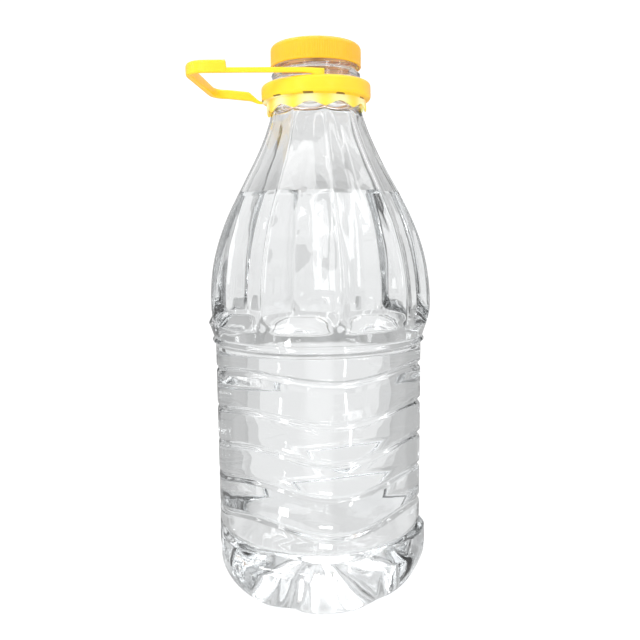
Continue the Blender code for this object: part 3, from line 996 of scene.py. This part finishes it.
def loopStations(s):
    # x, y, underside, height and thickness, from the band's front round the end to its back.
    middle = s["grip"][1] / 2
    nearX = -s["reach"] + middle + s["corner"]
    farX = -s["farReach"] + middle + s["corner"]
    sideY = s["armOffset"] - s["corner"]
    outward = 180.0 - math.degrees(math.atan2(farX - nearX, 2 * sideY))
    near = cornerPoints(s, nearX, -sideY, 270.0, outward)
    far = cornerPoints(s, farX, sideY, outward, 90.0)
    strapHigh, strapThick = s["strap"]
    gripHigh, gripThick = s["grip"]
    stations = []
    for t in evenly(16):
        low = s["nearLow"] - s["bandLift"] * math.exp(-s["liftFade"] * t)
        sunk = (low - s["endLow"]) * (1 - smoothStep((t - s["endPart"]) / s["endFade"]))
        x = lerp(s["strapEnd"], s["gripNear"], t)
        stations.append((x, -s["armOffset"], low - sunk, strapHigh + sunk, strapThick))
    for share in evenly(4, 1):
        t = smoothStep(share)
        high, thick = lerp(strapHigh, gripHigh, t), lerp(strapThick, gripThick, t)
        x = s["gripNear"] - s["gripStep"] * share
        stations.append((x, -s["armOffset"], s["nearLow"], high, thick))
    for x, y in near + far:
        share = (y + s["armOffset"]) / (2 * s["armOffset"])
        low = lerp(s["nearLow"], s["cornerLow"], share)
        stations.append((x, y, low, lerp(gripHigh, s["farGripHigh"], share), gripThick))
    # The far arm: the grip's end, where it narrows, and the thin strap to the band.
    startX = stations[-1][0]
    shares = evenly(6, 1)
    for t in shares:
        x, low = lerp(startX, s["gripFar"], t), lerp(s["cornerLow"], s["farLow"], t)
        stations.append((x, s["armOffset"], low, s["farGripHigh"], gripThick))
    for t in shares:
        x = lerp(s["gripFar"], s["farStrap"], t)
        low = lerp(s["farLow"], s["farStrapLow"], smoothStep(t))
        high, thick = lerp(s["farGripHigh"], s["farStrapHigh"], t), lerp(gripThick, strapThick, t)
        stations.append((x, s["armOffset"], low, high, thick))
    for t in shares:
        x = lerp(s["farStrap"], s["farEnd"], t)
        stations.append((x, s["armOffset"], s["farStrapLow"], s["farStrapHigh"], strapThick))
    return stations


def loopPoints(stations):
    points = []
    last = len(stations) - 1
    for i, (x, y, low, high, thick) in enumerate(stations):
        before, after = stations[max(i - 1, 0)], stations[min(i + 1, last)]
        runX, runY = after[0] - before[0], after[1] - before[1]
        length = math.hypot(runX, runY)
        side = (runY / length, -runX / length)
        place = (axisX + x * mm, y * mm, (low + high / 2) * mm)
        points.append((place, thick / 2 * mm, high / 2 * mm, *side))
    # Each end closes to a point, which the band hides.
    first, final = points[0], points[-1]
    return [(first[0], 0.0, 0.0, *first[3:])] + points + [(final[0], 0.0, 0.0, *final[3:])]


def paintSkirtLightAndShade(material, s):
    # Painted light: the skirt is paler than the band, most in its arches, as if lit through; and
    # a painted shade lies in the crease under the band. Seen through the neck it is left out.
    tree = material.node_tree
    maths = mathsIn(tree)
    colour = tree.nodes["Principled BSDF"].inputs["Base Color"]
    aside, y, z = placeRound(tree)
    angle = maths("ARCTAN2", aside, maths("MULTIPLY", y, -1.0))
    turn = maths("SUBTRACT", angle, math.radians(bottleShape["frontRib"]))
    beat = maths("COSINE", maths("MULTIPLY", turn, float(bottleShape["flutes"])))
    arch = maths("MULTIPLY_ADD", beat, -0.5, 0.5)
    # Painted light through the skirt, strongest in the arches and below the band.
    paintedDaylightShare = maths("MULTIPLY_ADD", arch, s["paintedDaylightArch"], s["paintedDaylightLeast"])
    paintedDaylightMask = maths("MULTIPLY", paintedDaylightShare, maths("LESS_THAN", z, s["paintedDaylightBelow"] * mm))
    withPaintedDaylight = mixColours(tree, paintedDaylightMask, colour.links[0].from_socket, (*s["paintedDaylightColour"], 1))
    # Painted shade: a dark band in the crease under the band, over the arches.
    creaseShadeBand = between(tree, z, (s["bandLow"] - s["creaseShadeBand"]) * mm, (s["bandLow"] + s["creaseShadeBand"]) * mm)
    crease = maths("MULTIPLY", creaseShadeBand, maths("GREATER_THAN", arch, s["creaseShadeArch"]))
    shade = maths("MULTIPLY", crease, s["creaseShadeStrength"])
    tree.links.new(mixColours(tree, shade, withPaintedDaylight, (*s["creaseShadeColour"], 1)), colour)
    through = addNode(tree, "ShaderNodeLightPath").outputs["Is Transmission Ray"]
    low = maths("LESS_THAN", z, s["lipHigh"] * mm)
    seeThrough(tree, maths("MULTIPLY", through, low), (1, 1, 1))


handleYellow = yellowMaterial("handleYellow", handleShape["look"])
paintSkirtLightAndShade(handleYellow, handleShape)
band = turnedPiece("neckHandle", bandRows(handleShape), {
    "Around": handleShape["around"],
    "Axis X": axisX,
    "Front": math.radians(bottleShape["frontRib"]),
    "Waves": float(bottleShape["flutes"]),
    "Wave point": handleShape["point"],
    "Material": handleYellow,
})
outwards(band)
middle = Vector((axisX, 0.0, (handleShape["bandLow"] + handleShape["bandHigh"]) / 2 * mm))
lean = Matrix.Rotation(math.radians(-handleShape["tilt"]), 4, "Y")
band.data.transform(Matrix.Translation(middle) @ lean @ Matrix.Translation(-middle))

path = profileObject("loopPath", loopPoints(loopStations(handleShape)), sweptColumns)
loopValues = {"Around": handleShape["loopAround"], "Material": handleYellow}
loop = bakeNodes(path, swept, loopValues, "loop")
outwards(loop)
join = band.modifiers.new("joinLoop", "BOOLEAN")
join.operation = "UNION"
join.solver = "EXACT"
join.object = loop
evaluatedBand = band.evaluated_get(bpy.context.evaluated_depsgraph_get())
joined = bpy.data.meshes.new_from_object(evaluatedBand)
band.modifiers.clear()
band.data = joined
bpy.data.objects.remove(loop)
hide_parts("handle")
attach(band, "root")
print("handle faces:", len(band.data.polygons))

# Stage: a pale floor, and cards round the bottle that only its glossy and clear surfaces see.
studio = {
    "floorSize": 6.0,           # half of it, in metres
    "floorColour": (0.96, 0.96, 0.96, 1),
    "floorRoughness": 0.7,
    "daylight": 1.12,
    "tentRadius": 330.0,        # millimetres, as are all the radii and heights below
    "cardGap": 0.0004,          # how much nearer each face of the cards lies than the last
    "tableEdge": 47.0,
    "tableHeight": 0.3,
    # Upper edge and level of each ring of the wall. The table has the first ring's level.
    "wall": (
        (98.0, 0.52), (138.0, 0.92), (160.0, 0.74), (246.0, 0.43),
        (256.0, 0.46), (266.0, 0.53), (276.0, 0.60), (288.0, 0.67), (400.0, 0.74), (700.0, 1.05),
    ),
    # Its bright part: inner radius, outer radius and level, then degrees to each side.
    "table": ((47.0, 125.0, 0.80), (125.0, 330.0, 0.92)),
    "tableHalfWidth": 9.5,
    "tableSoft": 3.5,
    "darkStrips": ((31.0, 6.0), (-31.0, 6.0), (45.0, 7.0)),     # middle and width in degrees
    "darkLevel": 0.12,
    "darkLow": 100.0,
    "darkHigh": 200.0,
    # Middle, width, lower edge, upper edge and level.
    "brightStrips": (
        (152.0, 3.0, 10.0, 112.0, 6.0),
        (148.0, 7.0, 200.0, 600.0, 4.0),
        (-150.0, 9.0, 200.0, 600.0, 4.0),
        (112.0, 5.0, 200.0, 600.0, 4.0),
        (-110.0, 5.0, 200.0, 600.0, 4.0),
    ),
    # Small bright cards on the table in front: middle, width, inner and outer radius, level.
    "sparks": ((-146.6, 8.8, 181.0, 207.0, 9.0), (174.6, 11.6, 141.0, 168.0, 9.0)),
    "ceilingHeight": 640.0,
    "ceiling": (110.0, 330.0, 3.5),
    "keyPanel": {
        "place": (-0.9, -1.1, 1.3),
        "target": (0, 0, 0.15),
        "size": (0.5, 0.5),
        "power": 10.0,
    },
}


def plainFloor(s):
    look, _, shader = newMaterial("paleFloor")
    setInputs(shader, {"Base Color": s["floorColour"], "Roughness": s["floorRoughness"]})
    data = bpy.data.meshes.new("floor")
    half = s["floorSize"]
    corners = [(-half, -half, 0), (half, -half, 0), (half, half, 0), (-half, half, 0)]
    data.from_pydata(corners, [], [(0, 1, 2, 3)])
    data.materials.append(look)
    floor = newObject("floor", data)


def cardTent(s):
    points, faces, levels = [], [], []
    radius, table = s["tentRadius"], s["tableHeight"]

    def card(middle, width, start, stop, level):
        # A strip from one radius and height to another, round part of the tent.
        nearer = len(levels) * s["cardGap"]
        count = max(1, round(width / 3))
        for i in range(count + 1):
            turn = math.radians(middle - width / 2 + width * i / count)
            for reach, height in (start, stop):
                out, up = (reach - nearer) * mm, (height + nearer) * mm
                points.append((axisX + out * math.sin(turn), out * math.cos(turn), up))
            if i:
                last = len(points) - 1
                faces.append((last - 3, last - 1, last, last - 2))
                levels.append(level)

    # A card of a higher layer lies over one of a lower layer.
    def onWall(layer, middle, width, low, high, level):
        card(middle, width, (radius - layer, low), (radius - layer, high), level)

    def onTable(layer, middle, width, inner, outer, level):
        height = table + layer / 10
        card(middle, width, (inner, height), (outer, height), level)

    sideLevel = s["wall"][0][1]
    onTable(0, 0, 360, s["tableEdge"], radius, sideLevel)
    low = table
    for high, level in s["wall"]:
        onWall(0, 0, 360, low, high, level)
        low = high
    for side in (0, 90, 180, 270):
        width = 2 * s["tableHalfWidth"]
        softWidth = width + 2 * s["tableSoft"]
        for inner, outer, level in s["table"]:
            onTable(1, side, softWidth, inner, outer, (level + sideLevel) / 2)
            onTable(2, side, width, inner, outer, level)
        low, high, level = table + 0.1, s["wall"][0][0], s["table"][-1][2]
        onWall(1, side, softWidth, low, high, (level + sideLevel) / 2)
        onWall(2, side, width, low, high, level)
        for middle, width in s["darkStrips"]:
            onWall(3, side + middle, width, s["darkLow"], s["darkHigh"], s["darkLevel"])
    for strip in s["brightStrips"]:
        onWall(4, *strip)
    for spark in s["sparks"]:
        onTable(3, *spark)
    inner, outer, level = s["ceiling"]
    card(0, 360, (inner, s["ceilingHeight"]), (outer, s["ceilingHeight"]), level)

    data = bpy.data.meshes.new("cardTent")
    data.from_pydata(points, [], faces)
    shade = data.attributes.new("level", "FLOAT", "FACE")
    shade.data.foreach_set("value", levels)
    look, tree, shader = newMaterial("tentCards")
    tree.nodes.remove(shader)
    glow = addNode(tree, "ShaderNodeEmission")
    level = addNode(tree, "ShaderNodeAttribute", attribute_name="level")
    tree.links.new(level.outputs["Fac"], glow.inputs["Strength"])
    tree.links.new(glow.outputs[0], tree.nodes["Material Output"].inputs["Surface"])
    look.cycles.emission_sampling = "NONE"
    data.materials.append(look)
    tent = newObject("cardTent", data)
    tent.visible_camera = False
    tent.visible_diffuse = False
    tent.visible_shadow = False


plainFloor(studio)
cardTent(studio)
world = bpy.data.worlds.new("studio")
scene.world = world
world.use_nodes = True
sky = world.node_tree.nodes["Background"]
setInputs(sky, {"Color": (1, 1, 1, 1), "Strength": studio["daylight"]})


def softPanel(name, s):
    data = bpy.data.lights.new(name, "AREA")
    data.shape = "RECTANGLE"
    data.size, data.size_y = s["size"]
    data.energy = s["power"]
    lamp = newObject(name, data)
    lamp.location = s["place"]
    lamp.rotation_euler = (Vector(s["target"]) - lamp.location).to_track_quat("-Z", "Y").to_euler()
    lamp.visible_glossy = False


softPanel("keyPanel", studio["keyPanel"])

scene.view_settings.view_transform = "Standard"
scene.cycles.max_bounces = 28
scene.cycles.transmission_bounces = 28
scene.cycles.glossy_bounces = 12
scene.cycles.transparent_max_bounces = 32
scene.cycles.caustics_reflective = False
scene.cycles.caustics_refractive = False

# Camera: the focal length and the axis are in pixels of the frame, lengths in millimetres.
view = {
    "frameWidth": 640,
    "sensorWidth": 36.0,
    "distance": 392.6,
    "height": 202.4,
    "pitch": 7.05,
    "roll": 0.51,
    "focal": 685.0,
    "axisPixel": 318.1,
}
camera = newObject("camera", bpy.data.cameras.new("camera"))
camera.data.sensor_width = view["sensorWidth"]
camera.data.lens = view["focal"] / view["frameWidth"] * view["sensorWidth"]
camera.data.clip_start = 0.01
aside = (view["frameWidth"] / 2 - view["axisPixel"]) / view["focal"] * view["distance"] * mm
camera.location = (axisX + aside, -view["distance"] * mm, view["height"] * mm)
camera.rotation_euler = (math.pi / 2 - math.radians(view["pitch"]), 0.0, 0.0)
camera.rotation_euler.rotate_axis("Z", -math.radians(view["roll"]))
scene.camera = camera
print("stage, lights and camera placed")
